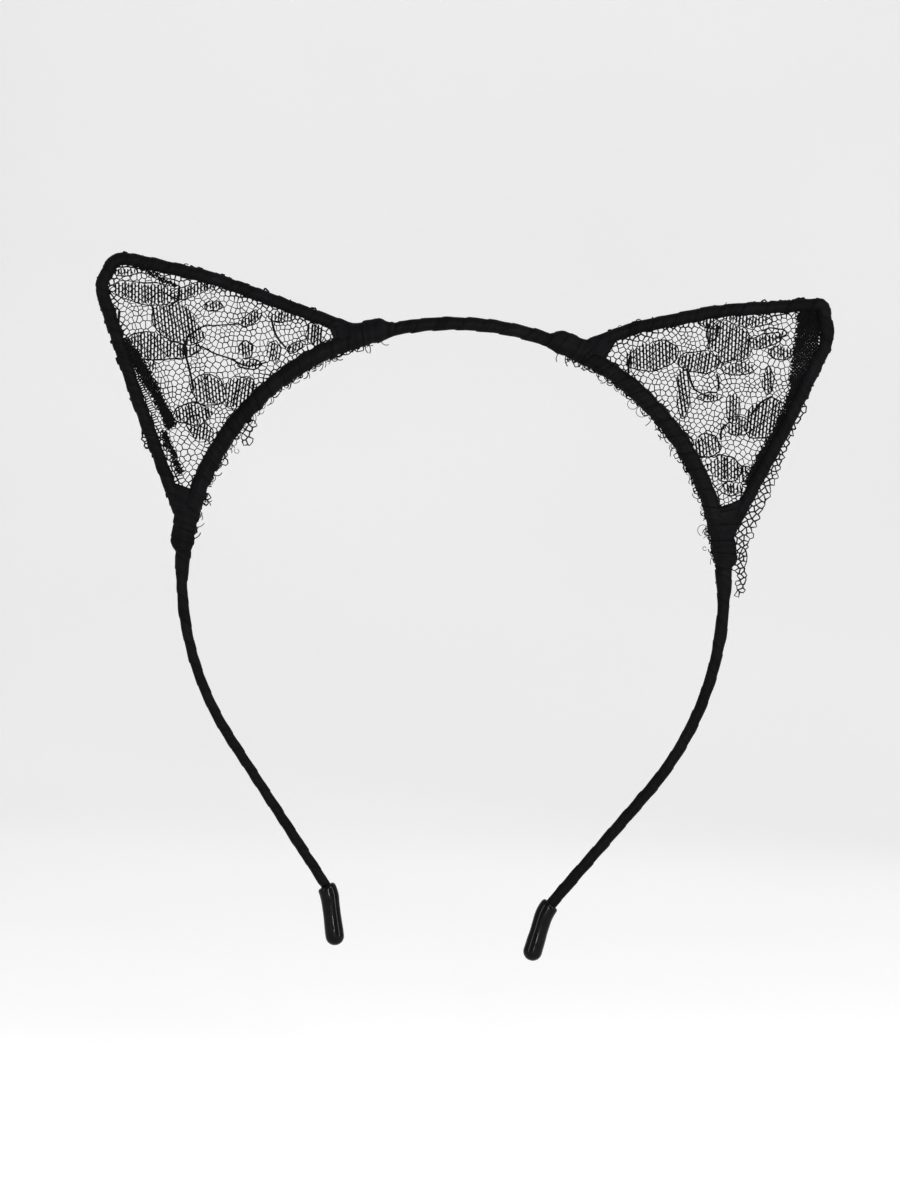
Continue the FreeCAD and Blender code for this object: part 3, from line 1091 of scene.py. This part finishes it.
def cellCorner(a, b, c):
    # the place as far from all three centres, kept near the middle of them
    middle = (a + b + c) / 3
    double = 2 * (a.x * (b.y - c.y) + b.x * (c.y - a.y) + c.x * (a.y - b.y))
    if abs(double) < 1e-6:
        return middle
    far = [corner.length_squared for corner in (a, b, c)]
    x = (far[0] * (b.y - c.y) + far[1] * (c.y - a.y) + far[2] * (a.y - b.y)) / double
    y = (far[0] * (c.x - b.x) + far[1] * (a.x - c.x) + far[2] * (b.x - a.x)) / double
    offset = Vector((x, y)) - middle
    if offset.length > laceSpec["cornerReach"]:
        offset.length = laceSpec["cornerReach"]
    return middle + offset


def knitNet(plan):
    # every centre gets one open cell, whose corners lie in the triangles around it
    spots = plan.cellCentres()
    corners, edges, triangles = delaunay_2d_cdt(spots, [], [], 0, 1e-4)[:3]
    around = {}
    bm = bmesh.new()
    middles = []
    for number, triangle in enumerate(triangles):
        middle = cellCorner(*(corners[i] for i in triangle))
        middles.append(bm.verts.new((middle.x, middle.y, 0)))
        for i in triangle:
            around.setdefault(i, []).append(middles[-1])
    for i, ring in around.items():
        centre = corners[i]
        if len(ring) < 3 or not plan.holds(centre):
            continue
        ring.sort(key=lambda vert: math.atan2(vert.co.y - centre.y, vert.co.x - centre.x))
        if max((vert.co.xy - centre).length for vert in ring) < laceSpec["mostCell"]:
            bm.faces.new(ring)
    loose = [vert for vert in bm.verts if not vert.link_faces]
    bmesh.ops.delete(bm, geom=loose, context="VERTS")
    bmesh.ops.remove_doubles(bm, verts=bm.verts, dist=laceSpec["mergeCorners"])
    weights = bm.verts.layers.deform.verify()
    for vert in bm.verts:
        vert[weights][0] = plan.threadAt(vert.co.xy)
    return bm


def layThread(bm, points, radius, spokes=5):
    # a thread along (along, up, depth) points, with closed ends
    rings = []
    for i, point in enumerate(points):
        way = (points[min(i + 1, len(points) - 1)] - points[max(i - 1, 0)]).normalized()
        taper = 0.6 if i in (0, len(points) - 1) else 1.0
        rings.append((point, Vector((-way.y, way.x, 0)), radius * taper))
    own = bmesh.new()
    sweepRings(own, rings, spokes, Vector((0, 0, 1)), closed=True)
    mesh = bpy.data.meshes.new("thread")
    own.to_mesh(mesh)
    own.free()
    bm.from_mesh(mesh)
    bpy.data.meshes.remove(mesh)


def smoothRun(points, steps=6):
    # a curve through the points
    found = []
    last = len(points) - 1
    for i in range(last):
        a, b, c, d = (points[min(max(i + k, 0), last)] for k in (-1, 0, 1, 2))
        for step in range(steps):
            t = step / steps
            found.append(0.5 * (2 * b + (c - a) * t + (2 * a - 5 * b + 4 * c - d) * t ** 2
                                + (3 * b - a - 3 * c + d) * t ** 3))
    return found + [points[last]]


def fillLeaf(bm, plan, number, draw):
    # close threads across one leaf, each broken where the leaf ends
    along, up, turn, length, width = plan.leaves[number]
    grain = plan.grain + draw.uniform(-laceSpec["grainSpread"], laceSpec["grainSpread"])
    pitch, reach = laceSpec["leafPitch"], length * 0.7
    for row in range(-int(reach / pitch), int(reach / pitch) + 1):
        run = []
        for step in range(int(reach * 4) + 1):
            across = row * pitch + 0.16 * ripple(plan.seed + row, step * 0.08)
            x, y = turned(step * 0.5 - reach, across, -grain)
            spot = Vector((along + x, up + y))
            held = plan.weaveAt(spot) == ("leaf", number) and insideLoop(spot, plan.loop)
            if held:
                run.append(Vector((spot.x, spot.y, 0.05)))
            if run and (not held or step == int(reach * 4)):
                if len(run) > 2:
                    layThread(bm, run, laceSpec["leafRadius"] * draw.uniform(0.75, 1.15), 4)
                run = []


def addThreads(bm, plan):
    motifs = laceMotifs[plan.side.name]
    draw = random.Random(plan.seed + 1)
    radius = laceSpec["outlineRadius"]
    for number, (along, up, turn, length, width) in enumerate(plan.leaves):
        fillLeaf(bm, plan, number, draw)
        begin, sweep = draw.uniform(0, laceSpec["fullTurn"]), draw.uniform(4.2, 6.2)
        points = []
        for i in range(29):
            angle = begin + sweep * i / 28
            x, y = plan.rim(number, angle)
            x, y = turned(x, y, -turn)
            points.append(Vector((along + x, up + y, 0.08)))
        size, run = radius * draw.uniform(0.8, 1.15), []
        for i, point in enumerate(points):
            held = insideLoop(point.xy, plan.loop)
            if held:
                run.append(point)
            if not held or i == len(points) - 1:
                if len(run) > 3:
                    layThread(bm, run, size)
                run = []
    for stem in motifs["stems"]:
        for offset in (-0.08, 0.09):
            run = smoothRun([Vector((x + offset, y + offset, 0.1)) for x, y in stem])
            layThread(bm, run, laceSpec["stemRadius"])
    for along, up, size in motifs["curls"]:
        begin = draw.uniform(0, laceSpec["fullTurn"])
        points = []
        for i in range(19):
            angle = begin + 5.6 * i / 18
            reach = size * (0.75 + 0.3 * i / 18)
            x, y = along + reach * math.cos(angle), up + reach * math.sin(angle)
            points.append(Vector((x, y, 0.5 * i / 18)))
        layThread(bm, points, 0.08)
    addFrays(bm, plan, draw)


def addFrays(bm, plan, draw):
    # cut ends and broken loops standing out of the wound edges
    side = plan.side
    for i in range(laceSpec["frays"]):
        onBase = i % 11 != 0
        if onBase:
            station = draw.uniform(side.feet[0] - 3, side.feet[1] + 3)
            point, way, out = side.band.at(station)
            start, away = point - out * (wireSpec["baseWrap"] - 0.25), -out
        else:
            station = draw.uniform(side.earFirst + 4, side.earLast - 4)
            point, way, out = side.ear.at(station)
            start, away = point + out * (wireSpec["earWrap"] - 0.25), out
        heading = math.atan2(away.dot(side.up), away.dot(side.along)) + draw.uniform(-0.9, 0.9)
        curl = draw.uniform(0.9, 5.2) * draw.choice((-1, 1))
        run = draw.uniform(0.8, 3.0) * (1.0 if onBase else 0.6)
        spot = Vector((*plan.flat(start), draw.uniform(-0.5, 0.5)))
        points = [spot.copy()]
        for step in range(9):
            spot += Vector((math.cos(heading), math.sin(heading), draw.uniform(-0.3, 0.3))) * (run / 9)
            heading += curl / 9
            points.append(spot.copy())
        layThread(bm, points, draw.uniform(0.07, 0.13), 4)


def makeLace(side):
    plan = LacePlan(side)
    net = knitNet(plan)
    mesh = bpy.data.meshes.new("net")
    net.to_mesh(mesh)
    net.free()
    holder = bpy.data.objects.new("net", mesh)
    holder.vertex_groups.new(name="thread")
    bpy.context.scene.collection.objects.link(holder)
    wire = holder.modifiers.new("threads", "WIREFRAME")
    wire.thickness = laceSpec["mostThread"]
    wire.offset = 0.0
    wire.vertex_group = "thread"
    wire.use_boundary = True
    wire.use_even_offset = False
    wire.use_replace = True
    bm = bmesh.new()
    bm.from_object(holder, bpy.context.evaluated_depsgraph_get())
    bpy.data.objects.remove(holder)
    addThreads(bm, plan)
    bmesh.ops.recalc_face_normals(bm, faces=bm.faces)
    for vert in bm.verts:
        along, up, depth = vert.co
        wave = laceSpec["wave"] * ripple(plan.seed + 23, along * 0.14, up * 0.14)
        vert.co = side.local(along, up, wave - depth)
    if side.sign < 0:
        bmesh.ops.reverse_faces(bm, faces=bm.faces)
    piece = finishPiece(bm, side.name + "Lace", thread)
    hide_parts(side.name + "_lace")
    bendWithEar(piece, side)
    spans = [max(p[k] for p in plan.loop) - min(p[k] for p in plan.loop) for k in (0, 1)]
    spans[0] * mm
    spans[1] * mm
    plan.area() * mm * mm


def makeStage():
    # one seamless sheet: a floor that curves up into a backdrop
    spec = {"floor": -200.0, "front": -2600.0, "back": 900.0, "cove": 1100.0, "top": 2200.0, "half": 3200.0}
    bm = bmesh.new()
    bmesh.ops.create_grid(bm, x_segments=2, y_segments=80, size=0.5)
    run = spec["back"] - spec["front"]
    arc = spec["cove"] * math.pi / 2
    whole = run + arc + spec["top"]
    for vert in bm.verts:
        along = (vert.co.y + 0.5) * whole
        vert.co.x *= spec["half"] * 2
        angle = min(max((along - run) / spec["cove"], 0.0), math.pi / 2)
        vert.co.y = spec["front"] + min(along, run) + spec["cove"] * math.sin(angle)
        vert.co.z = spec["floor"] + spec["cove"] * (1 - math.cos(angle)) + max(along - run - arc, 0.0)
    backdrop = finishPiece(bm, "backdropSheet", paper)


makeStage()
windCrown()
for number, side in enumerate(sides.values()):
    windBase(side)
    windJoin(side, "inner")
    windJoin(side, "outer")
    windLeg(side)
    windEar(side)
    layWires(side)
    makeCap(side, number)
    print("wound and capped:", side.name)
    makeLace(side)
    print("lace knitted:", side.name)

for nodeName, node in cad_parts.items():
    if nodeName.endswith("_glue_bead"):
        node.data.materials.clear()
        node.data.materials.append(glue)
